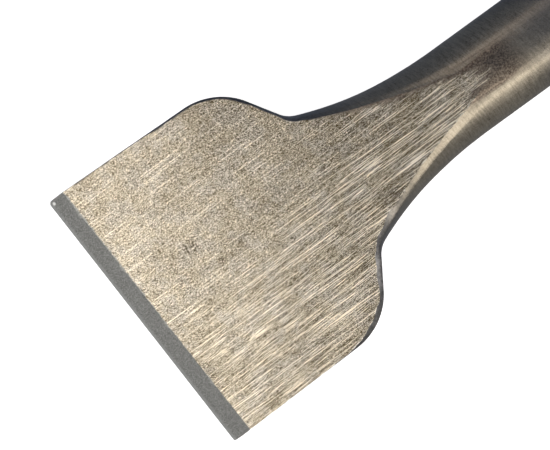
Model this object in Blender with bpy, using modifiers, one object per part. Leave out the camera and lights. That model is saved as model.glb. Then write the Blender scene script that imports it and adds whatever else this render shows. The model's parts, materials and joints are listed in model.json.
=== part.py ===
"""Guarded brick bolster: a one-piece steel forging with a push-on hand guard.

Everything is modelled with the tool standing on its cutting edge: local Z runs up the tool's
axis from the edge to the struck head, local Y runs across the blade and local X through its
thickness. One empty, rest_frame, then lays the finished tool down as it rests on a table, on
the heel of its bevel and on the rim of its guard.
"""
from math import atan2, cos, pi, radians, sin, tan

import bmesh
import bpy
from mathutils import Matrix, Vector

# ---- driving dimensions, in metres and degrees ------------------------------------------

# the forging: blade, shoulders, neck, round shank and struck head in one piece of steel
TOOL_LENGTH = 0.250  # cutting edge to striking face
BLADE_WIDTH = 0.075  # across the cutting edge
BLADE_SIDE_TAPER = 1.45  # how much each long side of the blade draws in
SHOULDER_STATION = 0.0483  # edge to the corner where a side would meet its shoulder
SHOULDER_SLOPE = 57.5  # how steeply a shoulder runs in, from the tool's axis
SHOULDER_RADIUS = 0.0165
NECK_ROOT_DIAMETER = 0.0398  # across the valleys where the shoulders meet the neck
NECK_ROOT_SLOPE = 22.8
NECK_ROOT_RADIUS = 0.007
NECK_LENGTH = 0.038  # valley to where the neck has become the round shank
SHANK_DIAMETER = 0.0245
HEAD_REDUCTION = 0.00125  # the struck end is this much smaller than the shank, per side
HEAD_TAPER_LENGTH = 0.016
HEAD_CHAMFER = 0.0026

# the two flats, ground on the blade and running out on the neck, and the cutting edge
HEEL_THICKNESS = 0.0054  # blade thickness where the bevels begin
FLAT_ANGLE = 5.4  # each flat to the tool's axis
BEVEL_HALF_ANGLE = 27.5
EDGE_LAND = 0.0004  # blunt flat left along the cutting edge
EDGE_SKEW = 2.0  # the ground edge runs this far off square, longer on the +Y side

# the hand guard: a soft liner, a hard core, a soft sleeve, a soft shield and a lock collar
GUARD_LENGTH = 0.097
BARE_HEAD = 0.019  # shank left free above the guard for the hammer
BORE_CLEARANCE = 0.0003
FIT_GAP = 0.0003
LINER_WALL = 0.0015
CORE_WALL = 0.0017
CORE_LIP_THICKNESS = 0.0026
CORE_LIP_HEIGHT = 0.0026
FLANGE_THICKNESS = 0.0022
FLANGE_BELOW_TOP = 0.0140  # top of the core down to the top of its flange
SLEEVE_WALL = 0.0024
RING_HEIGHT = 0.0011
RING_COUNT = 6
RING_LAND = 0.45  # share of the rings' spacing that is ring
SHIELD_RADIUS = 0.038
SHIELD_RIM_WALL = 0.0065  # soft wall outside the flange
SHIELD_SKIN = 0.0030  # soft cover above and below the flange
SHIELD_CROWN = 0.0030  # rise of the dome over its middle
SHIELD_RIM_DROP = 0.0045  # rim hangs this far below the flange cover
SHIELD_RIM_RADIUS = 0.0027
COLLAR_WALL = 0.0040
COLLAR_CHAMFER = 0.0012
LINER_PROUD = 0.0012  # soft liner shows above the core at the struck end

# ---- values worked out from them --------------------------------------------------------

SHANK_RADIUS = SHANK_DIAMETER / 2
LINER_BORE = SHANK_RADIUS + BORE_CLEARANCE
LINER_RADIUS = LINER_BORE + LINER_WALL
CORE_BORE = LINER_RADIUS + FIT_GAP
CORE_RADIUS = CORE_BORE + CORE_WALL
SLEEVE_BORE = CORE_RADIUS + FIT_GAP
SLEEVE_RADIUS = SLEEVE_BORE + SLEEVE_WALL
GUARD_TOP = TOOL_LENGTH - BARE_HEAD
GUARD_STATION = GUARD_TOP - GUARD_LENGTH
CORE_TOP = GUARD_TOP - LINER_PROUD
FLANGE_TOP = CORE_TOP - FLANGE_BELOW_TOP
FLANGE_BOTTOM = FLANGE_TOP - FLANGE_THICKNESS
FLANGE_RADIUS = SHIELD_RADIUS - SHIELD_RIM_WALL
SHIELD_BOTTOM = FLANGE_BOTTOM - FIT_GAP - SHIELD_SKIN
SHIELD_TOP = FLANGE_TOP + FIT_GAP + SHIELD_SKIN
SHIELD_RIM_BOTTOM = SHIELD_BOTTOM - SHIELD_RIM_DROP
COLLAR_RADIUS = SLEEVE_BORE + COLLAR_WALL

FACE_ANGLE = radians(FLAT_ANGLE)
BEVEL_ANGLE = radians(BEVEL_HALF_ANGLE)
BEVEL_LENGTH = (HEEL_THICKNESS - EDGE_LAND) / 2 / tan(BEVEL_ANGLE)
FACE_OFFSET = HEEL_THICKNESS / 2 - BEVEL_LENGTH * tan(FACE_ANGLE)

TURNED_STEPS = 64
GUARD_STEPS = 48
FORGED_ARC_STEP = radians(8)
MOULDED_ARC_STEP = radians(23)
CUTTER_SIZE = 2 * TOOL_LENGTH
MERGE_DISTANCE = 0.00001


# ---- helpers ----------------------------------------------------------------------------

def make_collection(name):
    collection = bpy.data.collections.new(name)
    bpy.context.scene.collection.children.link(collection)
    return collection


def make_material(name, colour, roughness, metallic):
    material = bpy.data.materials.new(name)
    material.use_nodes = True
    shader = material.node_tree.nodes["Principled BSDF"]
    shader.inputs["Base Color"].default_value = (*colour, 1.0)
    shader.inputs["Roughness"].default_value = roughness
    shader.inputs["Metallic"].default_value = metallic
    return material


def rounded(corners, arc_step):
    """A polyline through (radius, height, fillet) corners, with each fillet drawn as an arc."""
    points = []
    for index, (x, z, fillet) in enumerate(corners):
        corner = Vector((x, z))
        if not fillet:
            points.append(corner)
            continue
        before = (Vector(corners[index - 1][:2]) - corner).normalized()
        after = (Vector(corners[(index + 1) % len(corners)][:2]) - corner).normalized()
        half = before.angle(after) / 2
        centre = corner + (before + after).normalized() * fillet / sin(half)
        start = corner + before * fillet / tan(half) - centre
        turn = start.angle_signed(corner + after * fillet / tan(half) - centre)
        count = max(2, round(abs(turn) / arc_step))
        for step in range(count + 1):
            # angle_signed is positive clockwise, and a rotation matrix turns the other way
            points.append(centre + Matrix.Rotation(-turn * step / count, 2) @ start)
    return points


def turned(name, profile, collection, material, closed, steps):
    """A turned solid: its profile, which runs down its outer side, spun about the tool's axis."""
    mesh = bpy.data.meshes.new(name)
    count = len(profile)
    edges = [(i, i + 1) for i in range(count - 1)]
    if closed:
        edges.append((count - 1, 0))
    mesh.from_pydata([(x, 0, z) for x, z in profile], edges, [])
    mesh.materials.append(material)
    part = bpy.data.objects.new(name, mesh)
    collection.objects.link(part)
    spin = part.modifiers.new("spin", "SCREW")
    spin.axis = "Z"
    spin.angle = 2 * pi
    spin.steps = steps
    spin.render_steps = steps
    spin.use_merge_vertices = True
    spin.merge_threshold = MERGE_DISTANCE
    spin.use_smooth_shade = True
    return part


def half_space_cutter(name, point, normal, collection):
    """A box that fills the space in front of the plane through point facing normal."""
    mesh = bpy.data.meshes.new(name)
    box = bmesh.new()
    bmesh.ops.create_cube(box, size=CUTTER_SIZE)
    bmesh.ops.translate(box, vec=(0, 0, CUTTER_SIZE / 2), verts=box.verts)
    box.to_mesh(mesh)
    box.free()
    cutter = bpy.data.objects.new(name, mesh)
    cutter.location = point
    cutter.rotation_mode = "QUATERNION"
    cutter.rotation_quaternion = Vector(normal).to_track_quat("Z", "Y")
    cutter.hide_render = True
    cutter.display_type = "WIRE"
    collection.objects.link(cutter)
    return cutter


def cut(part, cutter):
    boolean = part.modifiers.new(cutter.name, "BOOLEAN")
    boolean.operation = "DIFFERENCE"
    boolean.solver = "EXACT"
    boolean.object = cutter


# ---- the forging ------------------------------------------------------------------------

def forging_profile():
    """Half outline of the forging seen on its flats, from the striking face to below the edge."""
    half_width = BLADE_WIDTH / 2
    side_slope = tan(radians(BLADE_SIDE_TAPER))
    shoulder_x = half_width - SHOULDER_STATION * side_slope
    root_x = NECK_ROOT_DIAMETER / 2
    root_z = SHOULDER_STATION + (shoulder_x - root_x) / tan(radians(SHOULDER_SLOPE))
    root_cut = NECK_ROOT_RADIUS * tan(radians(SHOULDER_SLOPE - NECK_ROOT_SLOPE) / 2)
    root_angle = radians(NECK_ROOT_SLOPE)
    neck_x = root_x - root_cut * sin(root_angle)
    neck_z = root_z + root_cut * cos(root_angle)
    overrun = half_width * tan(radians(EDGE_SKEW)) + EDGE_LAND
    head_radius = SHANK_RADIUS - HEAD_REDUCTION

    points = [Vector((0, TOOL_LENGTH))]
    points.append(Vector((head_radius - HEAD_CHAMFER, TOOL_LENGTH)))
    points.append(Vector((head_radius, TOOL_LENGTH - HEAD_CHAMFER)))
    points.append(Vector((SHANK_RADIUS, TOOL_LENGTH - HEAD_TAPER_LENGTH)))
    count = 8
    for step in range(count + 1):
        # cubic sweep of the neck: level at the shank, at the root's slope in the valley
        t = 1 - step / count
        root_share = 1 - 3 * t**2 + 2 * t**3
        slope_share = (t - 2 * t**2 + t**3) * NECK_LENGTH * tan(root_angle)
        x = root_share * neck_x - slope_share + (1 - root_share) * SHANK_RADIUS
        points.append(Vector((x, neck_z + t * NECK_LENGTH)))
    valley = rounded([
        (neck_x, neck_z, 0),
        (root_x, root_z, NECK_ROOT_RADIUS),
        (shoulder_x, SHOULDER_STATION, SHOULDER_RADIUS),
        (half_width + overrun * side_slope, -overrun, 0),
    ], FORGED_ARC_STEP)
    points += valley[2:]
    points.append(Vector((0, -overrun)))
    return points


def make_forging(parts, cutters):
    steel = make_material("forged_steel", (0.46, 0.41, 0.34), 0.42, 1.0)
    forging = turned("chisel_forging", forging_profile(), parts, steel, False, TURNED_STEPS)
    skew = radians(EDGE_SKEW)
    for side, label in ((1, "under"), (-1, "upper")):
        face_normal = (side * cos(FACE_ANGLE), 0, -sin(FACE_ANGLE))
        cut(forging, half_space_cutter(
            f"{label}_flat_cutter", (side * FACE_OFFSET, 0, 0), face_normal, cutters))
        bevel_normal = Vector((side * cos(BEVEL_ANGLE), 0, -sin(BEVEL_ANGLE)))
        bevel_normal.rotate(Matrix.Rotation(-skew, 3, "X"))
        cut(forging, half_space_cutter(
            f"{label}_bevel_cutter", (side * EDGE_LAND / 2, 0, 0), bevel_normal, cutters))
    edge_normal = Matrix.Rotation(-skew, 3, "X") @ Vector((0, 0, -1))
    cut(forging, half_space_cutter("edge_cutter", (0, 0, 0), edge_normal, cutters))
    return forging


# ---- the hand guard ---------------------------------------------------------------------

def make_liner(parts):
    """Soft damping tube that grips the shank."""
    rubber = make_material("liner_rubber", (0.06, 0.06, 0.065), 0.75, 0.0)
    profile = [
        (LINER_BORE, GUARD_TOP),
        (LINER_RADIUS, GUARD_TOP),
        (LINER_RADIUS, GUARD_STATION),
        (LINER_BORE, GUARD_STATION),
    ]
    return turned("damping_liner", profile, parts, rubber, True, GUARD_STEPS)


def make_core(parts):
    """Hard sleeve with a lip that stops the grip and a flange that stiffens the shield."""
    plastic = make_material("core_plastic", (0.05, 0.16, 0.27), 0.45, 0.0)
    lip_radius = CORE_RADIUS + CORE_LIP_HEIGHT
    lip_chamfer = CORE_LIP_HEIGHT / 3
    profile = [
        (CORE_BORE, CORE_TOP),
        (CORE_RADIUS, CORE_TOP),
        (CORE_RADIUS, FLANGE_TOP),
        (FLANGE_RADIUS, FLANGE_TOP),
        (FLANGE_RADIUS, FLANGE_BOTTOM),
        (CORE_RADIUS, FLANGE_BOTTOM),
        (CORE_RADIUS, GUARD_STATION + CORE_LIP_THICKNESS),
        (lip_radius, GUARD_STATION + CORE_LIP_THICKNESS),
        (lip_radius, GUARD_STATION + lip_chamfer),
        (lip_radius - lip_chamfer, GUARD_STATION),
        (CORE_BORE, GUARD_STATION),
    ]
    return turned("guard_core", profile, parts, plastic, True, GUARD_STEPS)


def make_sleeve(parts):
    """Soft grip over the core, with raised finger rings."""
    soft = make_material("grip_rubber", (0.03, 0.03, 0.032), 0.7, 0.0)
    top = SHIELD_BOTTOM - FIT_GAP
    bottom = GUARD_STATION + CORE_LIP_THICKNESS + FIT_GAP
    pitch = (top - bottom) / RING_COUNT
    flank = pitch * (1 - RING_LAND) / 4
    ring_radius = SLEEVE_RADIUS + RING_HEIGHT
    profile = [(SLEEVE_BORE, top)]
    for ring in range(RING_COUNT):
        middle = top - (ring + 0.5) * pitch
        land = pitch * RING_LAND / 2
        if ring == 0:
            profile.append((SLEEVE_RADIUS, top))
        profile.append((SLEEVE_RADIUS, middle + land + flank))
        profile.append((ring_radius, middle + land))
        profile.append((ring_radius, middle - land))
        profile.append((SLEEVE_RADIUS, middle - land - flank))
    profile.append((SLEEVE_RADIUS, bottom))
    profile.append((SLEEVE_BORE, bottom))
    return turned("grip_sleeve", profile, parts, soft, True, GUARD_STEPS)


def make_shield(parts):
    """Soft mushroom that covers the core's flange and shades the hand from the hammer."""
    soft = bpy.data.materials["grip_rubber"]
    dome_start = COLLAR_RADIUS + FIT_GAP
    dome_end = SHIELD_RADIUS - SHIELD_RIM_RADIUS
    rim_top = SHIELD_TOP - 2 * SHIELD_RIM_RADIUS
    run = dome_end - dome_start
    drop = SHIELD_TOP - rim_top - SHIELD_RIM_RADIUS
    dome_count = 5
    profile = [(SLEEVE_BORE, SHIELD_TOP), (dome_start, SHIELD_TOP)]
    for step in range(1, dome_count):
        t = step / dome_count
        crown = SHIELD_CROWN * 4 * t * (1 - t)
        profile.append((dome_start + t * run, SHIELD_TOP - t * drop + crown))
    profile += rounded([
        (dome_end, rim_top + SHIELD_RIM_RADIUS, 0),
        (SHIELD_RADIUS, rim_top + SHIELD_RIM_RADIUS, SHIELD_RIM_RADIUS),
        (SHIELD_RADIUS, SHIELD_RIM_BOTTOM, SHIELD_RIM_RADIUS * 0.9),
        (SHIELD_RADIUS - 2 * SHIELD_RIM_RADIUS, SHIELD_RIM_BOTTOM, SHIELD_RIM_RADIUS * 0.9),
        (SHIELD_RADIUS - 2 * SHIELD_RIM_RADIUS, SHIELD_BOTTOM, SHIELD_RIM_RADIUS),
        (SLEEVE_BORE, SHIELD_BOTTOM, 0),
    ], MOULDED_ARC_STEP)[1:]
    profile.append((SLEEVE_BORE, FLANGE_BOTTOM - FIT_GAP))
    profile.append((FLANGE_RADIUS + FIT_GAP, FLANGE_BOTTOM - FIT_GAP))
    profile.append((FLANGE_RADIUS + FIT_GAP, FLANGE_TOP + FIT_GAP))
    profile.append((SLEEVE_BORE, FLANGE_TOP + FIT_GAP))
    return turned("hand_shield", profile, parts, soft, True, TURNED_STEPS)


def make_collar(parts):
    """Hard ring snapped on the core's top end, which holds the shield down on its flange."""
    plastic = bpy.data.materials["core_plastic"]
    bottom = SHIELD_TOP + FIT_GAP
    profile = [
        (SLEEVE_BORE, CORE_TOP),
        (COLLAR_RADIUS - COLLAR_CHAMFER, CORE_TOP),
        (COLLAR_RADIUS, CORE_TOP - COLLAR_CHAMFER),
        (COLLAR_RADIUS, bottom),
        (SLEEVE_BORE, bottom),
    ]
    return turned("lock_collar", profile, parts, plastic, True, GUARD_STEPS)


# ---- the tool laid down at rest ---------------------------------------------------------

def rest_tilt():
    """Angle of the tool's axis to the floor, lying on its bevel's heel and its guard's rim."""
    half_width = BLADE_WIDTH / 2
    heel_z = BEVEL_LENGTH - half_width * tan(radians(EDGE_SKEW))
    heel_x = FACE_OFFSET + heel_z * tan(FACE_ANGLE)
    rim_z = SHIELD_RIM_BOTTOM + SHIELD_RIM_RADIUS
    run = rim_z - heel_z
    return atan2(SHIELD_RADIUS - heel_x, run)


def lay_down(parts):
    """Parents every part to one empty, tilted to rest, with the origin under the box's middle."""
    frame = bpy.data.objects.new("rest_frame", None)
    bpy.context.scene.collection.objects.link(frame)
    frame.rotation_euler = (0, pi / 2 - rest_tilt(), 0)
    for part in [*parts.objects]:
        part.parent = frame
    for cutter in bpy.data.collections["cutters"].objects:
        cutter.parent = frame
    bpy.context.view_layer.update()
    depsgraph = bpy.context.evaluated_depsgraph_get()
    corners = []
    for part in parts.objects:
        shape = part.evaluated_get(depsgraph)
        mesh = shape.to_mesh()
        corners += [part.matrix_world @ vertex.co for vertex in mesh.vertices]
        shape.to_mesh_clear()
    low = Vector(min(corner[axis] for corner in corners) for axis in range(3))
    high = Vector(max(corner[axis] for corner in corners) for axis in range(3))
    frame.location = (-(low.x + high.x) / 2, -(low.y + high.y) / 2, -low.z)


def main():
    for thing in [*bpy.data.objects]:
        bpy.data.objects.remove(thing)
    parts = make_collection("guarded_brick_bolster")
    cutters = make_collection("cutters")
    make_forging(parts, cutters)
    make_liner(parts)
    make_core(parts)
    make_sleeve(parts)
    make_shield(parts)
    make_collar(parts)
    lay_down(parts)


main()
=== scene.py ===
"""Finish for a guarded brick bolster: ground and forged steel, soft grip, hard plastic.

Every piece is shaped standing on the tool's cutting edge, with Z up the tool's axis, Y across
the blade and X through its thickness, in millimetres, and is then laid down with the frame.
"""
import json
from bisect import bisect_left
from math import atan2, cos, degrees, exp, hypot, pi, radians, sin, tan

import bmesh
import bpy
from mathutils import Matrix, Vector, noise


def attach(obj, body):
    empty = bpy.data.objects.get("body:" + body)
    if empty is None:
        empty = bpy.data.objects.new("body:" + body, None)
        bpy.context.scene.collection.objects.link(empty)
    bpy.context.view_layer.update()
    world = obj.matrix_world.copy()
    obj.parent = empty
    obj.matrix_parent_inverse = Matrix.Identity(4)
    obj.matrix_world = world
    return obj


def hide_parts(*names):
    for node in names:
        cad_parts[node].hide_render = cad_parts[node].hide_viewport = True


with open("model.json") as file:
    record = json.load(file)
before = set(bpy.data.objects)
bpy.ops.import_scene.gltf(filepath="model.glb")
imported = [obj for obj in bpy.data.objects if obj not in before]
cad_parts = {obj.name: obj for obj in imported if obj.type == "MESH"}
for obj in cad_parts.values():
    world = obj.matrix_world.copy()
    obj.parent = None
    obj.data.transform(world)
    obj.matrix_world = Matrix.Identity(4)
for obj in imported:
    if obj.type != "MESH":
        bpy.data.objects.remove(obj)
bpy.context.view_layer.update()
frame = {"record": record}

# ------------------------------------------------------------------------------------------
# How the tool lies. It rests on the heel of its bevel and on the rim of its guard, so its
# axis climbs from the floor. The struck end's flat face gives the axis and a point on it.
# ------------------------------------------------------------------------------------------
MM = 0.001
TOOL_LENGTH = 250.0
struck = next(m for m in frame["record"]["mounts"] if m["name"] == "striking_face")
tool_axis = Vector(struck["axis"]).normalized()
edge_middle = Vector(struck["pos_m"]) - tool_axis * TOOL_LENGTH * MM
tilt = atan2(tool_axis.z, tool_axis.x)
upright_to_rest = (
    Matrix.Translation(edge_middle)
    @ Matrix.Rotation(pi / 2 - tilt, 4, "Y")
    @ Matrix.Scale(MM, 4)
)

# ------------------------------------------------------------------------------------------
# The forging. Blade, neck, shank and struck head are one piece of tool steel, drop forged
# from round bar. Both flats are coarse ground along the tool, the bevels ground finer.
# ------------------------------------------------------------------------------------------
BLADE_WIDTH = 75.0
SIDE_TAPER = radians(1.45)
SHOULDER_STATION = 48.3
SHOULDER_SLOPE = radians(57.5)
SHOULDER_RADIUS = 16.5
NECK_ROOT_RADIUS = 19.9
NECK_ROOT_SLOPE = radians(22.8)
NECK_ROOT_FILLET = 7.0
NECK_LENGTH = 38.0
SHANK_RADIUS = 12.25
HEAD_REDUCTION = 1.25
HEAD_TAPER_LENGTH = 16.0
HEAD_CHAMFER = 2.6
HEEL_THICKNESS = 5.4
FLAT_ANGLE = radians(5.4)
BEVEL_ANGLE = radians(27.5)
EDGE_LAND = 0.4
EDGE_SKEW = radians(2.0)
FORGING_STEPS = 240
ROW_SPACING = 0.75
BARE_SHANK_SPACING = 1.6
STRUCK_SPACING = 0.3
DRAFT_DEPTH = 1.1
DRAFT_SPREAD = 6.0
FLATS_END = 118.0
LONG_CORNER_NICK = 0.55
SHORT_CORNER_NICK = 0.3
HOLLOW_SIZE, HOLLOW_DEPTH = 9, 0.10
LUMP_SIZE, LUMP_DEPTH = 1.7, 0.05
DENT_SIZE, SMALL_DENT_SIZE = 3.0, 1.6
DENT_DEPTH = 0.4
SMALL_DENT_SHARE = 0.4
CREASE = 30
ZONE_CREASE = 8
ZONE_GAP = 0.02
ORDER_DIGITS = 4
BEVEL_LENGTH = (HEEL_THICKNESS - EDGE_LAND) / 2 / tan(BEVEL_ANGLE)
FACE_OFFSET = HEEL_THICKNESS / 2 - BEVEL_LENGTH * tan(FLAT_ANGLE)
SKIN, FLAT, BEVEL, STRUCK = 0.0, 1.0, 2.0, 3.0


def rounded(corners, arc_step=8):
    """A polyline through (radius, height, fillet) corners, with each fillet drawn as an arc."""
    points = []
    for index, (x, z, fillet) in enumerate(corners):
        corner = Vector((x, z))
        if not fillet:
            points.append(corner)
            continue
        before = (Vector(corners[index - 1][:2]) - corner).normalized()
        after = (Vector(corners[(index + 1) % len(corners)][:2]) - corner).normalized()
        half = before.angle(after) / 2
        centre = corner + (before + after).normalized() * fillet / sin(half)
        start = corner + before * fillet / tan(half) - centre
        turn = start.angle_signed(corner + after * fillet / tan(half) - centre)
        count = max(2, round(degrees(abs(turn)) / arc_step))
        for step in range(count + 1):
            points.append(centre + Matrix.Rotation(-turn * step / count, 2) @ start)
    return points


def filled_in(points, spacing, closed=False):
    """The same outline with extra points, so that no stretch is longer than spacing."""
    result = []
    following = points[1:] + points[:1] if closed else points[1:]
    for here, there in zip(points, following):
        count = max(1, round((there - here).length / spacing))
        result += [here.lerp(there, step / count) for step in range(count)]
    return result if closed else result + [points[-1]]


def spun(profile, steps, closed):
    """A turned shape: (radius, height) points down its outer side, spun about the tool's axis."""
    shape = bmesh.new()
    points = [shape.verts.new((radius, 0, height)) for radius, height in profile]
    lines = [shape.edges.new(pair) for pair in zip(points, points[1:])]
    if closed:
        lines.append(shape.edges.new((points[-1], points[0])))
    bmesh.ops.spin(shape, geom=points + lines, axis=(0, 0, 1), angle=2 * pi, steps=steps,
                   use_merge=True)
    bmesh.ops.remove_doubles(shape, verts=shape.verts, dist=0.0005)
    bmesh.ops.recalc_face_normals(shape, faces=shape.faces)
    for face in shape.faces:
        face.smooth = True
    return shape


def eased(value, low, high):
    """0 at low and 1 at high, with a smooth step between them."""
    share = min(1.0, max(0.0, (value - low) / (high - low)))
    return share * share * (3 - 2 * share)


def forging_outline():
    """Radius and height down the forging's outline, struck face first."""
    side_slope = tan(SIDE_TAPER)
    shoulder_x = BLADE_WIDTH / 2 - SHOULDER_STATION * side_slope
    root_z = SHOULDER_STATION + (shoulder_x - NECK_ROOT_RADIUS) / tan(SHOULDER_SLOPE)
    root_cut = NECK_ROOT_FILLET * tan((SHOULDER_SLOPE - NECK_ROOT_SLOPE) / 2)
    neck_x = NECK_ROOT_RADIUS - root_cut * sin(NECK_ROOT_SLOPE)
    neck_z = root_z + root_cut * cos(NECK_ROOT_SLOPE)
    overrun = BLADE_WIDTH / 2 * tan(EDGE_SKEW) + EDGE_LAND
    head_radius = SHANK_RADIUS - HEAD_REDUCTION
    head = rounded([
        (0, TOOL_LENGTH, 0),
        (head_radius - HEAD_CHAMFER, TOOL_LENGTH, 0.8),
        (head_radius, TOOL_LENGTH - HEAD_CHAMFER, 1.5),
        (SHANK_RADIUS, TOOL_LENGTH - HEAD_TAPER_LENGTH, 20.0),
        (SHANK_RADIUS, neck_z + NECK_LENGTH, 0),
    ])
    neck = []
    count = 24
    for step in range(1, count):
        t = 1 - step / count
        root_share = 1 - 3 * t**2 + 2 * t**3
        slope_share = (t - 2 * t**2 + t**3) * NECK_LENGTH * tan(NECK_ROOT_SLOPE)
        x = root_share * neck_x - slope_share + (1 - root_share) * SHANK_RADIUS
        neck.append(Vector((x, neck_z + t * NECK_LENGTH)))
    blade = rounded([
        (neck_x, neck_z, 0),
        (NECK_ROOT_RADIUS, root_z, NECK_ROOT_FILLET),
        (shoulder_x, SHOULDER_STATION, SHOULDER_RADIUS),
        (BLADE_WIDTH / 2 + overrun * side_slope, -overrun, 0),
    ], 3)
    blade.append(Vector((0, -overrun)))
    return (filled_in(head[:2], STRUCK_SPACING)[:-1] + filled_in(head[1:-1], BARE_SHANK_SPACING)
            + filled_in(head[-1:] + neck + blade, ROW_SPACING))


def cut_plane(shape, point, normal, clear=False):
    """Cuts a shape's faces along a plane. With clear, what lies in front of it goes."""
    bmesh.ops.bisect_plane(
        shape, geom=shape.verts[:] + shape.edges[:] + shape.faces[:], dist=0.001,
        plane_co=point, plane_no=normal, clear_outer=clear)


def put_in_order(shape):
    """Sorts a cut shape by place, since a cut adds its vertices in a new order on every run."""
    for vert in shape.verts:
        vert.co = [round(value, ORDER_DIGITS) for value in vert.co]
    by_place = sorted(shape.verts, key=lambda vert: vert.co[:])
    ranks = {vert: rank for rank, vert in enumerate(by_place)}
    shape.verts.sort(key=ranks.get)
    shape.verts.index_update()
    for parts in (shape.edges, shape.faces):
        by_corners = sorted(parts, key=lambda part: sorted(vert.index for vert in part.verts))
        ranks = {part: rank for rank, part in enumerate(by_corners)}
        parts.sort(key=ranks.get)
        parts.index_update()


def half_thickness(point):
    """Half the steel's thickness under the flats and bevels at a point's width and height."""
    flat = FACE_OFFSET + point.z * tan(FLAT_ANGLE)
    bevel = EDGE_LAND / 2 + max(0.0, point.dot(edge_normal)) * tan(BEVEL_ANGLE)
    return min(flat, bevel)


def draft_width(point, stretch):
    """How far the rounded border of a flat reaches in from the forging's outline."""
    if point.y < 0:
        width = 0.12 + 1.05 * eased(point.z, 35, 45) - 0.4 * eased(point.z, 62, 90)
    else:
        width = 0.2 + 0.3 * eased(point.z, 18, 45)
    return width * stretch * (1 + 0.45 * noise.noise(point / 3.5))


outline = forging_outline()
forging = spun(outline, FORGING_STEPS, False)
edge_normal = Vector((0, sin(EDGE_SKEW), cos(EDGE_SKEW)))
cut_plane(forging, (0, 0, 0), -edge_normal, clear=True)
shell = forging.verts.layers.float.new("shell")
for vert in forging.verts:
    vert[shell] = hypot(vert.co.x, vert.co.y)
for side in (1, -1):
    flat_normal = Vector((side * cos(FLAT_ANGLE), 0, -sin(FLAT_ANGLE)))
    bevel_normal = Vector((side, 0, 0)) - edge_normal * tan(BEVEL_ANGLE)
    cut_plane(forging, (side * FACE_OFFSET, 0, 0), flat_normal)
    cut_plane(forging, (side * (FACE_OFFSET - DRAFT_DEPTH), 0, 0), flat_normal)
    cut_plane(forging, (side * EDGE_LAND / 2, 0, 0), bevel_normal)
# the heel line, where each flat meets its bevel, seen along the thickness
heel_slope = tan(BEVEL_ANGLE) * cos(EDGE_SKEW) - tan(FLAT_ANGLE)
heel_normal = Vector((0, tan(BEVEL_ANGLE) * sin(EDGE_SKEW), heel_slope))
heel_point = Vector((0, 0, (FACE_OFFSET - EDGE_LAND / 2) / heel_slope))
cut_plane(forging, heel_point, heel_normal)

# Each flat takes off what stands above it. Its border is not crisp: the dies' draft and the
# tumbled edge leave a rounded strip, widest on one shoulder, inside the forging's outline.
inset = forging.verts.layers.float.new("inset")
heights = [-z for radius, z in outline]
for vert in forging.verts:
    limit = half_thickness(vert.co)
    if abs(vert.co.x) > limit:
        vert.co.x = limit if vert.co.x > 0 else -limit
    if vert.co.z > FLATS_END:
        continue
    row = min(max(bisect_left(heights, -vert.co.z), 1), len(outline) - 2)
    step = outline[row - 1] - outline[row + 1]
    stretch = min(1.9, step.length / max(abs(step.y), 0.001))
    border = max(0.0, vert[shell]**2 - vert.co.x**2)**0.5
    below = min(1.0, (limit - abs(vert.co.x)) / DRAFT_DEPTH)
    draft = min(draft_width(vert.co, stretch), border * 0.3)
    crowded = max(0.0, 1 - (border - abs(vert.co.y)) / min(DRAFT_SPREAD, max(border, 0.001)))
    moved = draft * (1 - below)**1.5 * crowded
    vert.co.y -= moved if vert.co.y > 0 else -moved
    vert[inset] = border - draft - abs(vert.co.y)
put_in_order(forging)
bmesh.ops.remove_doubles(forging, verts=forging.verts, dist=0.004)
put_in_order(forging)
bmesh.ops.dissolve_degenerate(forging, dist=0.0005, edges=forging.edges)
bmesh.ops.holes_fill(forging, edges=[e for e in forging.edges if e.is_boundary], sides=0)

# both ends of the edge are knocked off, the longer end more
for side, nick in ((1, LONG_CORNER_NICK), (-1, SHORT_CORNER_NICK)):
    corner = Vector((0, side * BLADE_WIDTH / 2, -side * BLADE_WIDTH / 2 * tan(EDGE_SKEW)))
    away = Vector((0, side, -1.2)).normalized()
    cut_plane(forging, corner - away * nick, away, clear=True)
    put_in_order(forging)
    bmesh.ops.holes_fill(forging, edges=[e for e in forging.edges if e.is_boundary], sides=0)

# ground, bevelled and struck faces each have their own finish, and the rest is forged skin
zone = forging.faces.layers.float.new("zone")
for face in forging.faces:
    middle = face.calc_center_median()
    off_edge = middle.dot(edge_normal)
    flat_gap = FACE_OFFSET + middle.z * tan(FLAT_ANGLE) - abs(middle.x)
    bevel_gap = EDGE_LAND / 2 + off_edge * tan(BEVEL_ANGLE) - abs(middle.x)
    if middle.z > TOOL_LENGTH - HEAD_CHAMFER:
        face[zone] = STRUCK
    elif off_edge < ZONE_GAP or bevel_gap < ZONE_GAP:
        face[zone] = BEVEL
    elif flat_gap < ZONE_GAP:
        face[zone] = FLAT
    else:
        face[zone] = SKIN
for edge in forging.edges:
    zones = {face[zone] for face in edge.link_faces}
    edge.smooth = edge.calc_face_angle(0) < radians(CREASE if len(zones) == 1 else ZONE_CREASE)

# forged skin is never quite true: slow hollows and fine scale lumps, always inwards
for vert in forging.verts:
    if all(face[zone] == SKIN for face in vert.link_faces):
        slow = 0.5 + 0.5 * noise.noise(vert.co / HOLLOW_SIZE)
        fine = 0.5 + 0.5 * noise.noise(vert.co / LUMP_SIZE)
        outward = Vector((vert.co.x, vert.co.y, 0)).normalized()
        vert.co -= outward * (HOLLOW_DEPTH * slow + LUMP_DEPTH * fine)
# and hammer blows have dented the struck face
for vert in forging.verts:
    if vert.co.z > TOOL_LENGTH - HEAD_CHAMFER:
        dent = max(0.0, noise.noise(vert.co / DENT_SIZE))
        dent += SMALL_DENT_SHARE * max(0.0, noise.noise(vert.co / SMALL_DENT_SIZE))
        vert.co.z -= DENT_DEPTH * dent * eased(vert.co.z, TOOL_LENGTH - HEAD_CHAMFER, TOOL_LENGTH)


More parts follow.
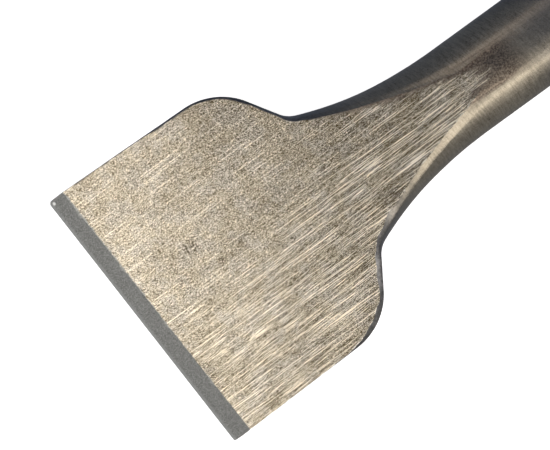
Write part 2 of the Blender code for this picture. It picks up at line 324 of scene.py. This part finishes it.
class Wire:
    """An output socket of a material. Arithmetic on it adds Math nodes to the material."""

    def __init__(self, tree, socket=None):
        self.tree = tree
        self.socket = socket

    def node(self, kind, settings, sockets, output=0):
        """Adds a node: its settings, then the values or links of its sockets."""
        made = self.tree.nodes.new(kind)
        for name, value in settings.items():
            setattr(made, name, value)
        for name, value in sockets.items():
            socket = made.inputs[name]
            if isinstance(value, Wire):
                self.tree.links.new(value.socket, socket)
            else:
                socket.default_value = (*value, 1) if socket.type == "RGBA" else value
        return Wire(self.tree, made.outputs[output])

    def math(self, operation, *values):
        return self.node("ShaderNodeMath", {"operation": operation}, dict(enumerate(values)))

    def __add__(self, other):
        return self.math("ADD", self, other)

    def __sub__(self, other):
        return self.math("SUBTRACT", self, other)

    def __rsub__(self, other):
        return self.math("SUBTRACT", other, self)

    def __mul__(self, other):
        return self.math("MULTIPLY", self, other)

    def __abs__(self):
        return self.math("ABSOLUTE", self)

    __radd__ = __add__
    __rmul__ = __mul__

    def ramp(self, low, high):
        """0 below low and 1 above high, with a smooth step between them."""
        return self.node(
            "ShaderNodeMapRange", {"interpolation_type": "SMOOTHSTEP"},
            {"Value": self, "From Min": low, "From Max": high})

    def mix(self, first, second):
        """The first colour where this is 0, the second where it is 1."""
        return self.node("ShaderNodeMix", {"data_type": "RGBA"}, {0: self, 6: first, 7: second},
                         2)

    def axis(self, name):
        return self.node("ShaderNodeSeparateXYZ", {}, {"Vector": self}, name)

    def stretched(self, *scale):
        """These coordinates multiplied by one number for each axis."""
        return self.node("ShaderNodeVectorMath", {"operation": "MULTIPLY"},
                         {0: self, 1: scale})

    def away_from(self, *point):
        """Distance of these coordinates from a point."""
        return self.node("ShaderNodeVectorMath", {"operation": "DISTANCE"},
                         {0: self, 1: point}, "Value")

    def slanted(self, angle):
        """These coordinates turned a little in the plane of the blade."""
        return self.node("ShaderNodeVectorRotate", {"rotation_type": "X_AXIS"},
                         {"Vector": self, "Angle": radians(angle)})

    def bump(self, strength, distance):
        """A normal from this height, for the shader. Distance is in metres."""
        return self.node("ShaderNodeBump", {}, {
            "Strength": strength, "Distance": distance, "Height": self})

    def grain(self, scale, detail=2.0, roughness=0.5):
        """Noise with about scale lumps to a millimetre of these coordinates."""
        return self.node(
            "ShaderNodeTexNoise", {},
            {"Vector": self, "Scale": scale, "Detail": detail, "Roughness": roughness})


def new_material(name):
    """A material, its shader node and the tool's upright millimetre coordinates in it."""
    material = bpy.data.materials.new(name)
    material.use_nodes = True
    tree = material.node_tree
    shader = tree.nodes["Principled BSDF"]
    upright = upright_to_rest.inverted()
    place = Wire(tree).node("ShaderNodeTexCoord", {}, {}, "Object")
    at = place.node("ShaderNodeMapping", {"vector_type": "POINT"}, {
        "Vector": place,
        "Location": upright.translation,
        "Rotation": upright.to_euler(),
        "Scale": upright.to_scale(),
    })
    return material, shader, at


def feed(shader, name, wire):
    shader.id_data.links.new(wire.socket, shader.inputs[name])


def finish_piece(name, shape, body, node, material):
    """Lays a finished bmesh down at its place, and gives it its body, slot and material."""
    bmesh.ops.transform(shape, matrix=upright_to_rest, verts=shape.verts)
    mesh = bpy.data.meshes.new(name)
    shape.to_mesh(mesh)
    shape.free()
    mesh.materials.append(material)
    piece = bpy.data.objects.new(name, mesh)
    bpy.context.scene.collection.objects.link(piece)
    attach(piece, body)
    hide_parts(node)


PIT_CLUSTER = (-4.2, 7.8, 20.9)
LONE_PIT = (-4.7, 0.4, 25.4)
CHIPPED_CORNER = (-0.72, 36.3, -0.26)

steel, steel_shader, at = new_material("forged_steel")
across = at.axis("Y")
along = at.axis("Z")
surface = at.node("ShaderNodeAttribute", {"attribute_name": "zone"}, {}, "Fac")
border = at.node("ShaderNodeAttribute", {"attribute_name": "inset"}, {}, "Fac")
is_flat = surface.ramp(0.4, 0.6) * (1 - surface.ramp(1.4, 1.6))
is_bevel = surface.ramp(1.4, 1.6) * (1 - surface.ramp(2.4, 2.6))
is_struck = surface.ramp(2.4, 2.6)

# the coarse belt leaves a salt-and-pepper grain all over and long scratches along the tool
grit = at.stretched(1, 1, 0.45).grain(6.0, 0.0, 0.5)
smear = at.stretched(1, 1, 0.2).grain(3.0, 2.0, 0.7)
cloud = at.grain(0.09, 3.0, 0.55)
drift = at.stretched(1, 1, 0.3).grain(0.2, 1.0, 0.5)
scratch = at.slanted(3.5).stretched(0.1, 1, 0.02).grain(6.2, 0.0, 0.5)
long_scratch = at.slanted(-0.5).stretched(0.1, 1, 0.011).grain(5.2, 0.0, 0.5)
# scratches crowd on one half of the blade and towards the neck
crowd = (across * -0.015 + drift * 0.5 + along.ramp(30, 100) * 0.35).ramp(0.15, 0.75)
# the scratches' bright lines are a painted highlight, their glint, and their dark lines are
# painted shade on the groove walls
scratch_glint = (scratch.ramp(0.66, 0.71) * crowd
          + long_scratch.ramp(0.66, 0.70) * (0.3 + crowd * 0.9))
scratch_shade = (1 - scratch).ramp(0.60, 0.65) * (0.06 + crowd * 0.7)
# the belt lifts off towards the neck, where the ground metal is duller; the darkening towards the
# neck is also painted shade, for the light falling off along the blade
belt_lift_and_shade = along.ramp(10, 105) - along.ramp(82, 96) * 0.9
tone = (0.365 + (grit - 0.5) * 1.9 + (smear - 0.5) * 0.4 + (cloud - 0.5) * 0.3 - belt_lift_and_shade * 0.22
        + scratch_glint * 1.3 - scratch_shade * 0.35)
fresh = tone.mix((0.10, 0.075, 0.04), (1.0, 0.89, 0.70))
worn = tone.mix((0.10, 0.08, 0.052), (1.0, 0.91, 0.76))
flat_colour = at.grain(0.22, 3.0, 0.6).ramp(0.40, 0.64).mix(fresh, worn)
# pits that the belt did not reach
pitted = 1 - at.away_from(*PIT_CLUSTER).ramp(1.2, 2.6) * at.away_from(*LONE_PIT).ramp(0.6, 1.6)
pits = at.grain(1.9, 1.0, 0.5).ramp(0.53, 0.58) * (pitted + at.grain(0.35).ramp(0.68, 0.72) * 0.4)
flat_colour = pits.mix(flat_colour, (0.10, 0.08, 0.05))

bevel_tone = 0.5 + (at.grain(3.0, 3.0, 0.75) - 0.5) * 2.6 + (smear - 0.5) * 0.6
off_edge = across * sin(EDGE_SKEW) + along * cos(EDGE_SKEW)
bevel_colour = bevel_tone.mix((0.16, 0.16, 0.149), (0.47, 0.466, 0.435))
bevel_colour = (0.7 - off_edge.ramp(0.3, 1.1) * 0.7).mix(bevel_colour, (0.47, 0.47, 0.45))

# a chip at one end of the edge, with a painted highlight on it
nick_glint = 1 - at.away_from(*CHIPPED_CORNER).ramp(0.3, 0.6)
bevel_colour = nick_glint.mix(bevel_colour, (1.0, 0.98, 0.94))
# the heel line is slightly ragged
heel_gap = off_edge + (at.grain(1.1, 2.0, 0.6) - 0.5) * 1.3
is_bevel = is_bevel + is_flat * (1 - heel_gap.ramp(BEVEL_LENGTH + 0.05, BEVEL_LENGTH + 0.2))

# scale is left on the neck above a ragged end of the grinding, and along one border of it
scale_tone = 0.27 + (at.grain(2.2, 3.0, 0.7) - 0.5) * 2.4 + (cloud - 0.5) * 0.6
scale_colour = scale_tone.mix((0.10, 0.08, 0.065), (0.48, 0.40, 0.315))
streaks = at.stretched(0.2, 1, 0.05).grain(1.1, 2.0, 0.5)
ragged = (along + (streaks - 0.5) * 26 + abs(across) * 0.35).ramp(99, 102)
untouched = (1 - (border + (at.grain(0.8, 2.0, 0.5) - 0.5) * 3.0).ramp(0.2, 1.7)) * (
    across.ramp(-1, 2) * along.ramp(60, 76))
ground = is_flat * (1 - ragged) * (1 - untouched)
# the rest is dark forged skin, dressed crosswise from the shoulders up, fading out up the shank
skin_tone = 0.45 + (at.grain(1.8, 4.0, 0.65) - 0.5) * 1.5 + (cloud - 0.5) * 0.7
skin_colour = skin_tone.mix((0.075, 0.074, 0.076), (0.34, 0.33, 0.32))
hatch = at.slanted(12).stretched(0.12, 0.12, 1).grain(2.6, 2.0, 0.6)
dressed = along.ramp(58, 78) * (1 - (along + (drift - 0.5) * 20).ramp(108, 130) * 0.8)
dressed_colour = (0.45 + (hatch - 0.5) * 1.0 + (grit - 0.5) * 0.8 + (cloud - 0.5) * 0.5).mix(
    (0.17, 0.148, 0.115), (0.56, 0.505, 0.41))
skin_colour = dressed.mix(skin_colour, dressed_colour)
beyond = (along.ramp(92, 98) * (1 - along.ramp(108, 116))
          * (1 - (abs(across) + (streaks - 0.5) * 6).ramp(3.5, 5.5)))
skin_colour = (is_flat + beyond).mix(skin_colour, scale_colour)
# the tumbled border has painted highlights, bright flecks mostly on the lit side, and a broken
# line of painted shade along the other side
border_glints = (1 - border.ramp(0.05, 0.4)) * at.grain(0.7, 2.0, 0.6).ramp(0.52, 0.6) * is_flat
flat_colour = (border_glints * (1 - across.ramp(-2, 2) * 0.7)).mix(flat_colour, (1.0, 0.94, 0.82))
# painted shade: a dark broken line along the border on the side away from the lamps
rim = (1 - border.ramp(0.05, 0.5)) * across.ramp(0, 3) * at.grain(0.2, 3.0, 0.6).ramp(0.48, 0.55)
flat_colour = (rim * 0.85).mix(flat_colour, (0.07, 0.06, 0.055))
colour = is_bevel.mix(ground.mix(skin_colour, flat_colour), bevel_colour)
# the struck face is burnished by the hammer between its dents
blows = skin_tone * 0.6 + (at.grain(0.5, 4.0, 0.6) - 0.3) * 1.2
colour = is_struck.mix(colour, blows.mix((0.22, 0.20, 0.18), (0.68, 0.65, 0.60)))
feed(steel_shader, "Base Color", colour)
steel_shader.inputs["Metallic"].default_value = 1
is_skin = 1 - surface.ramp(0.4, 0.6)
feed(steel_shader, "Roughness",
     0.44 + is_bevel * 0.1 - is_skin * 0.06 + (grit - 0.5) * 0.3)
relief = (ground * (grit * 0.9 + scratch * 0.6 - pits * 1.5)
          + (1 - ground) * (skin_tone * 0.4 + hatch * 0.6 + scale_tone * is_flat * 0.6))
feed(steel_shader, "Normal", relief.bump(0.5, 0.00008))
finish_piece("bolster_steel", forging, "chisel", "chisel_forging", steel)

# ------------------------------------------------------------------------------------------
# The damping liner. A soft tube that grips the shank and takes the ring out of each blow. It
# shows as a thin ring at both ends of the guard, with relief notches at the struck end.
# ------------------------------------------------------------------------------------------
GUARD_TOP = 231.0
GUARD_STATION = 134.0
LINER_BORE = SHANK_RADIUS + 0.3
LINER_RADIUS = LINER_BORE + 1.5
LINER_PROUD = 1.2
RELIEF_NOTCHES = 12
RELIEF_DEPTH = 0.55
MOULDED_STEPS = 288


def notch(vert, count, share):
    """1 inside each of count even notches around the tool, 0 between them, with soft sides."""
    turn = atan2(vert.co.y, vert.co.x) / (2 * pi) * count
    return 1 - eased(abs(turn - round(turn)), share / 2 - 0.06, share / 2 + 0.06)


liner = spun(filled_in(rounded([
    (LINER_BORE, GUARD_TOP, 0.45),
    (LINER_RADIUS, GUARD_TOP, 0.6),
    (LINER_RADIUS, GUARD_STATION, 0.4),
    (LINER_BORE, GUARD_STATION, 0.4),
], 22), 6.0, True), MOULDED_STEPS, True)
for vert in liner.verts:
    near_top = eased(vert.co.z, GUARD_TOP - 1.3, GUARD_TOP)
    vert.co.z -= RELIEF_DEPTH * notch(vert, RELIEF_NOTCHES, 0.3) * near_top

liner_rubber, liner_shader, at = new_material("liner_rubber")
speck = at.grain(4.0, 2.0, 0.6)
bloom = at.grain(0.35, 3.0, 0.6).ramp(0.4, 0.7)
feed(liner_shader, "Base Color", (bloom * 0.6 + (speck - 0.5) * 0.5).mix(
    (0.045, 0.045, 0.05), (0.12, 0.115, 0.11)))
feed(liner_shader, "Roughness", 0.7 + (speck - 0.5) * 0.4)
feed(liner_shader, "Normal", speck.bump(0.4, 0.00005))
finish_piece("damping_tube", liner, "liner", "damping_liner", liner_rubber)

# ------------------------------------------------------------------------------------------
# The core. A hard moulded tube that carries the grip. A scalloped lip stops the grip at the
# blade end, and a flange, moulded into the shield, keeps the shield from folding.
# ------------------------------------------------------------------------------------------
FIT_GAP = 0.3
CORE_BORE = LINER_RADIUS + FIT_GAP
CORE_RADIUS = CORE_BORE + 1.7
CORE_TOP = GUARD_TOP - LINER_PROUD
LIP_RADIUS = CORE_RADIUS + 2.6
LIP_TOP = GUARD_STATION + 2.6
FLANGE_TOP = CORE_TOP - 14.0
FLANGE_BOTTOM = FLANGE_TOP - 2.2
FLANGE_RADIUS = 31.5
LIP_SCALLOPS = 16
SCALLOP_DEPTH = 0.7

core = spun(filled_in(rounded([
    (CORE_BORE, CORE_TOP, 0.35),
    (CORE_RADIUS, CORE_TOP, 0.35),
    (CORE_RADIUS, FLANGE_TOP, 0),
    (FLANGE_RADIUS, FLANGE_TOP, 0.6),
    (FLANGE_RADIUS, FLANGE_BOTTOM, 0.6),
    (CORE_RADIUS, FLANGE_BOTTOM, 0),
    (CORE_RADIUS, LIP_TOP, 0),
    (LIP_RADIUS, LIP_TOP, 0.45),
    (LIP_RADIUS, GUARD_STATION, 1.0),
    (CORE_BORE, GUARD_STATION, 0.35),
], 15), 6.0, True), MOULDED_STEPS, True)
for vert in core.verts:
    radius = hypot(vert.co.x, vert.co.y)
    if vert.co.z < LIP_TOP + 0.01 and radius > CORE_RADIUS + 0.5:
        outwards = eased(radius, CORE_RADIUS + 0.5, LIP_RADIUS)
        pull = SCALLOP_DEPTH * notch(vert, LIP_SCALLOPS, 0.5) * outwards
        vert.co.xy *= 1 - pull / radius

hard_plastic, plastic_shader, at = new_material("core_plastic")
sparked = at.grain(3.2, 2.0, 0.6)
haze = at.grain(0.12, 3.0, 0.6)
scuff = at.stretched(1, 1, 0.12).grain(1.6, 2.0, 0.5).ramp(0.63, 0.7)
dusty = at.grain(0.5, 4.0, 0.65).ramp(0.5, 0.75)
blue = (haze * 0.8 + (sparked - 0.5) * 0.4).mix((0.035, 0.125, 0.215), (0.07, 0.20, 0.325))
blue = (scuff * 0.35).mix(blue, (0.22, 0.33, 0.43))
feed(plastic_shader, "Base Color", (dusty * 0.16).mix(blue, (0.42, 0.36, 0.30)))
feed(plastic_shader, "Roughness", 0.42 + dusty * 0.2 + (sparked - 0.5) * 0.3 + scuff * 0.1)
feed(plastic_shader, "Normal", sparked.bump(0.35, 0.00005))
finish_piece("core_tube", core, "guard", "guard_core", hard_plastic)

# ------------------------------------------------------------------------------------------
# The grip. Soft rubber moulded over the core between its lip and the shield. Six finger rings
# stand up from it, with fine flutes between them and a thin parting line down both sides.
# ------------------------------------------------------------------------------------------
SLEEVE_BORE = CORE_RADIUS + FIT_GAP
SLEEVE_RADIUS = SLEEVE_BORE + 2.4
SLEEVE_TOP = FLANGE_BOTTOM - 3.0 - 2 * FIT_GAP
SLEEVE_BOTTOM = LIP_TOP + FIT_GAP
RING_HEIGHT = 1.1
RING_COUNT = 6
RING_LAND = 0.45
RING_PITCH = (SLEEVE_TOP - SLEEVE_BOTTOM) / RING_COUNT
GROOVES_ON_RING = 3
GROOVE_DEPTH = 0.22
FLUTE_COUNT = 48
FLUTE_DEPTH = 0.3
PARTING_HEIGHT = 0.14
PARTING_WIDTH = 0.35

sleeve = spun(filled_in(rounded([
    (SLEEVE_BORE, SLEEVE_TOP, 0.4),
    (SLEEVE_RADIUS, SLEEVE_TOP, 0.8),
    (SLEEVE_RADIUS, SLEEVE_BOTTOM, 0.8),
    (SLEEVE_BORE, SLEEVE_BOTTOM, 0.4),
], 20), 0.6, True), MOULDED_STEPS, True)
for vert in sleeve.verts:
    radius = hypot(vert.co.x, vert.co.y)
    if radius < SLEEVE_RADIUS - 0.05:
        continue
    from_ring = abs((SLEEVE_TOP - vert.co.z) / RING_PITCH % 1 - 0.5) * 2
    ring = 1 - eased(from_ring, RING_LAND * 0.9, (1 + RING_LAND) / 2 * 1.05)
    groove = 0.5 - 0.5 * cos(2 * pi * GROOVES_ON_RING * (0.5 + from_ring / RING_LAND / 2))
    groove = exp(-((1 - groove) * 2.2)**2) * (from_ring < RING_LAND)
    turn = atan2(vert.co.y, vert.co.x)
    flute = (0.5 - 0.5 * cos(FLUTE_COUNT * turn)) * (1 - eased(ring, 0.0, 0.3))
    ends = eased(min(SLEEVE_TOP - vert.co.z, vert.co.z - SLEEVE_BOTTOM), 1.2, 2.0)
    parting = exp(-(cos(turn) * radius / PARTING_WIDTH)**2)
    raised = (RING_HEIGHT * ring - GROOVE_DEPTH * groove - FLUTE_DEPTH * flute * ends
              + PARTING_HEIGHT * parting)
    vert.co.xy *= 1 + raised / radius


def soft_rubber(name, crest_low, crest_high):
    """Black moulded rubber, polished by the hand past crest_low mm from the tool's axis."""
    material, shader, at = new_material(name)
    pebble = at.grain(2.6, 2.0, 0.6)
    fine = at.grain(7.0, 2.0, 0.5)
    crest = at.stretched(1, 1, 0).away_from(0, 0, 0).ramp(crest_low, crest_high)
    dust = (at.grain(0.3, 5.0, 0.65).ramp(0.46, 0.74) + at.grain(1.4, 2.0, 0.5).ramp(
        0.66, 0.74) * 0.6) * (1 - crest * 0.8)
    black = (pebble * 0.6 + crest * 0.35).mix((0.024, 0.024, 0.025), (0.078, 0.077, 0.08))
    feed(shader, "Base Color", (dust * 0.17).mix(black, (0.36, 0.30, 0.25)))
    feed(shader, "Roughness", 0.62 - crest * 0.14 + dust * 0.15 + (fine - 0.5) * 0.3)
    feed(shader, "Normal", (pebble * 0.7 + fine * 0.3).bump(0.45, 0.00007))
    return material


finish_piece("finger_grip", sleeve, "guard", "grip_sleeve",
             soft_rubber("grip_rubber", SLEEVE_RADIUS + 0.7, SLEEVE_RADIUS + RING_HEIGHT))

# ------------------------------------------------------------------------------------------
# The shield. A soft mushroom over the core's flange that keeps the hammer off the hand. Its
# dome has ribs and a bead, its rim is scalloped, and webs stiffen its hollow underside.
# ------------------------------------------------------------------------------------------
COLLAR_RADIUS = SLEEVE_BORE + 4.0
SHIELD_RADIUS = 38.0
SHIELD_SKIN = 3.0
SHIELD_CROWN = 3.0
RIM_RADIUS = 2.7
RIM_DROP = 4.5
SHIELD_BOTTOM = FLANGE_BOTTOM - FIT_GAP - SHIELD_SKIN
SHIELD_TOP = FLANGE_TOP + FIT_GAP + SHIELD_SKIN
RIM_BOTTOM = SHIELD_BOTTOM - RIM_DROP
DOME_START = COLLAR_RADIUS + FIT_GAP
DOME_END = SHIELD_RADIUS - RIM_RADIUS
RIB_COUNT = 24
RIB_SHARE = 0.34
RIB_HEIGHT = 0.8
BEAD_HEIGHT = 0.3
WEB_HEIGHT = 1.6
RIM_SCALLOP_DEPTH = 0.8


def shield_profile():
    """Down the dome and rim, in along the underside, and round the pocket for the flange."""
    count = 20
    dome = [Vector((SLEEVE_BORE, SHIELD_TOP)), Vector((DOME_START, SHIELD_TOP))]
    for step in range(1, count):
        t = step / count
        height = SHIELD_TOP + SHIELD_CROWN * 4 * t * (1 - t)
        dome.append(Vector((DOME_START + t * (DOME_END - DOME_START), height)))
    rim = rounded([
        (DOME_END, SHIELD_TOP, 0),
        (SHIELD_RADIUS, SHIELD_TOP, RIM_RADIUS),
        (SHIELD_RADIUS, RIM_BOTTOM, RIM_RADIUS * 0.9),
        (SHIELD_RADIUS - 2 * RIM_RADIUS, RIM_BOTTOM, RIM_RADIUS * 0.9),
        (SHIELD_RADIUS - 2 * RIM_RADIUS, SHIELD_BOTTOM, RIM_RADIUS),
        (SLEEVE_BORE, SHIELD_BOTTOM, 0),
    ], 9)
    pocket = [
        Vector((SLEEVE_BORE, FLANGE_BOTTOM - FIT_GAP)),
        Vector((FLANGE_RADIUS + FIT_GAP, FLANGE_BOTTOM - FIT_GAP)),
        Vector((FLANGE_RADIUS + FIT_GAP, FLANGE_TOP + FIT_GAP)),
        Vector((SLEEVE_BORE, FLANGE_TOP + FIT_GAP)),
    ]
    return filled_in(dome + rim, 0.8) + filled_in(pocket, 8.0)


shield = spun(shield_profile(), MOULDED_STEPS, True)
for vert in shield.verts:
    radius = hypot(vert.co.x, vert.co.y)
    rib = notch(vert, RIB_COUNT, RIB_SHARE)
    if vert.co.z > SHIELD_TOP - 0.5 and radius > DOME_START:
        between = eased(radius, DOME_START + 3.5, DOME_START + 4.8) * (
            1 - eased(radius, DOME_END - 2.2, DOME_END - 1.0))
        bead = exp(-((radius - DOME_START - 2.0) / 0.6)**2)
        vert.co.z -= RIB_HEIGHT * (1 - rib) * between - BEAD_HEIGHT * bead
    elif vert.co.z < SHIELD_BOTTOM + 0.5 and radius < SHIELD_RADIUS - 2 * RIM_RADIUS:
        web = rib * eased(radius, DOME_START, DOME_START + 1.5)
        vert.co.z -= WEB_HEIGHT * web
    elif radius > SHIELD_RADIUS - 1.6:
        scallop = 0.5 - 0.5 * cos(RIB_COUNT * 2 * atan2(vert.co.y, vert.co.x))
        waist = eased(vert.co.z, RIM_BOTTOM, RIM_BOTTOM + 3) * (
            1 - eased(vert.co.z, SHIELD_TOP - 4, SHIELD_TOP - 1))
        vert.co.xy *= 1 - RIM_SCALLOP_DEPTH * scallop * waist / radius
finish_piece("mushroom_shield", shield, "guard", "hand_shield",
             soft_rubber("shield_rubber", SHIELD_RADIUS - 2.5, SHIELD_RADIUS))

# ------------------------------------------------------------------------------------------
# The lock collar. A hard ring snapped on the core's struck end, which holds the shield down
# on its flange. Grip flats run round it, and four slots in its top take a pin spanner.
# ------------------------------------------------------------------------------------------
COLLAR_BOTTOM = SHIELD_TOP + FIT_GAP
COLLAR_CHAMFER = 1.2
GRIP_FLATS = 24
GRIP_FLAT_DEPTH = 0.55
SPANNER_SLOTS = 4
SPANNER_SLOT_DEPTH = 2.2

collar = spun(filled_in(rounded([
    (SLEEVE_BORE, CORE_TOP, 0.3),
    (COLLAR_RADIUS - COLLAR_CHAMFER, CORE_TOP, 0.5),
    (COLLAR_RADIUS, CORE_TOP - COLLAR_CHAMFER, 0.5),
    (COLLAR_RADIUS, COLLAR_BOTTOM, 0.4),
    (SLEEVE_BORE, COLLAR_BOTTOM, 0.3),
], 15), 0.7, True), MOULDED_STEPS, True)
for vert in collar.verts:
    radius = hypot(vert.co.x, vert.co.y)
    near_top = eased(vert.co.z, CORE_TOP - 3.0, CORE_TOP - 0.4)
    vert.co.z -= SPANNER_SLOT_DEPTH * notch(vert, SPANNER_SLOTS, 0.14) * near_top
    if radius > COLLAR_RADIUS - 0.3:
        height = eased(vert.co.z, COLLAR_BOTTOM + 1.2, COLLAR_BOTTOM + 2.4) * (
            1 - eased(vert.co.z, CORE_TOP - 2.8, CORE_TOP - 1.4))
        vert.co.xy *= 1 - GRIP_FLAT_DEPTH * notch(vert, GRIP_FLATS, 0.5) * height / radius
finish_piece("lock_ring", collar, "guard", "lock_collar", hard_plastic)

# ------------------------------------------------------------------------------------------
# Floor, light and camera. The tool lies on a plain white table under soft lamps, seen square
# on to its blade.
# ------------------------------------------------------------------------------------------
FRAME_WIDTH = 0.1361
AIM_STATION = 0.0408
VIEW_ROLL = radians(36.0)
FLOOR_REACH = 3
LENS = 100.0
SENSOR = 36.0
WARM_WHITE = (1.0, 0.97, 0.93)
LAMP_WHITE = (1.0, 0.94, 0.85)
AMBER_WHITE = (1.0, 0.88, 0.78)
scene = bpy.context.scene
scene.view_settings.view_transform = "Standard"
camera_data = bpy.data.cameras.new("camera")
camera_data.lens = LENS
camera_data.sensor_width = SENSOR
camera = bpy.data.objects.new("camera", camera_data)
scene.collection.objects.link(camera)
scene.camera = camera
thickness_up = Vector((-sin(tilt), 0, cos(tilt)))
right_side = Vector((0, -1, 0))
to_right = cos(VIEW_ROLL) * tool_axis + sin(VIEW_ROLL) * right_side
to_top = sin(VIEW_ROLL) * tool_axis - cos(VIEW_ROLL) * right_side
aim = edge_middle + tool_axis * AIM_STATION
spot = aim + thickness_up * FRAME_WIDTH * LENS / SENSOR
camera.matrix_world = Matrix((
    (to_right.x, to_top.x, thickness_up.x, spot.x),
    (to_right.y, to_top.y, thickness_up.y, spot.y),
    (to_right.z, to_top.z, thickness_up.z, spot.z),
    (0, 0, 0, 1),
))

floor_mesh = bpy.data.meshes.new("floor")
plane = bmesh.new()
bmesh.ops.create_grid(plane, x_segments=1, y_segments=1, size=FLOOR_REACH)
plane.to_mesh(floor_mesh)
plane.free()
floor = bpy.data.objects.new("floor", floor_mesh)
scene.collection.objects.link(floor)
floor_material, floor_shader, place = new_material("floor_white")
floor_mesh.materials.append(floor_material)
floor_shader.inputs["Base Color"].default_value = (0.9, 0.9, 0.9, 1)
floor_shader.inputs["Roughness"].default_value = 0.9
floor_shader.inputs["Emission Strength"].default_value = 0.8
floor.visible_glossy = False
seen = place.node("ShaderNodeLightPath", {}, {}, "Is Camera Ray")
feed(floor_shader, "Emission Color", seen.mix((0.10, 0.11, 0.13), (1, 1, 1)))


def softbox(name, towards, distance, size, power, colour):
    """A soft rectangular lamp that faces the blade from the given side."""
    data = bpy.data.lights.new(name, "AREA")
    data.shape = "RECTANGLE"
    data.size, data.size_y = size
    data.energy = power
    data.color = colour
    lamp = bpy.data.objects.new(name, data)
    scene.collection.objects.link(lamp)
    lamp.location = aim + towards.normalized() * distance
    lamp.rotation_mode = "QUATERNION"
    lamp.rotation_quaternion = towards.to_track_quat("Z", "Y")


softbox("key", thickness_up - tool_axis * 0.62 - right_side * 0.1, 0.5, (0.42, 0.26), 1.25,
        WARM_WHITE)
softbox("neck_side", right_side + thickness_up * 0.72 + tool_axis * 0.1, 0.6, (0.4, 0.3), 1.15,
        LAMP_WHITE)
softbox("shoulder_fill", thickness_up - right_side, 0.7, (0.4, 0.16), 0.38, AMBER_WHITE)
softbox("head_side", tool_axis + thickness_up * 0.45 + right_side * 0.25, 0.8, (0.6, 0.4), 3.0,
        WARM_WHITE)
world = bpy.data.worlds.new("studio")
scene.world = world
world.use_nodes = True
air = Wire(world.node_tree)
seen = air.node("ShaderNodeLightPath", {}, {}, "Is Camera Ray")
# steel mirrors a dim room that is lighter on the right
towards = air.node("ShaderNodeTexCoord", {}, {}, "Generated")
lit_side = air.node("ShaderNodeVectorMath", {"operation": "DOT_PRODUCT"},
                    {0: towards, 1: right_side}, "Value")
room = lit_side.ramp(-0.2, 0.9).mix((0.12, 0.14, 0.185), (0.26, 0.262, 0.27))
feed(world.node_tree.nodes["Background"], "Color", seen.mix(room, (1, 1, 1)))
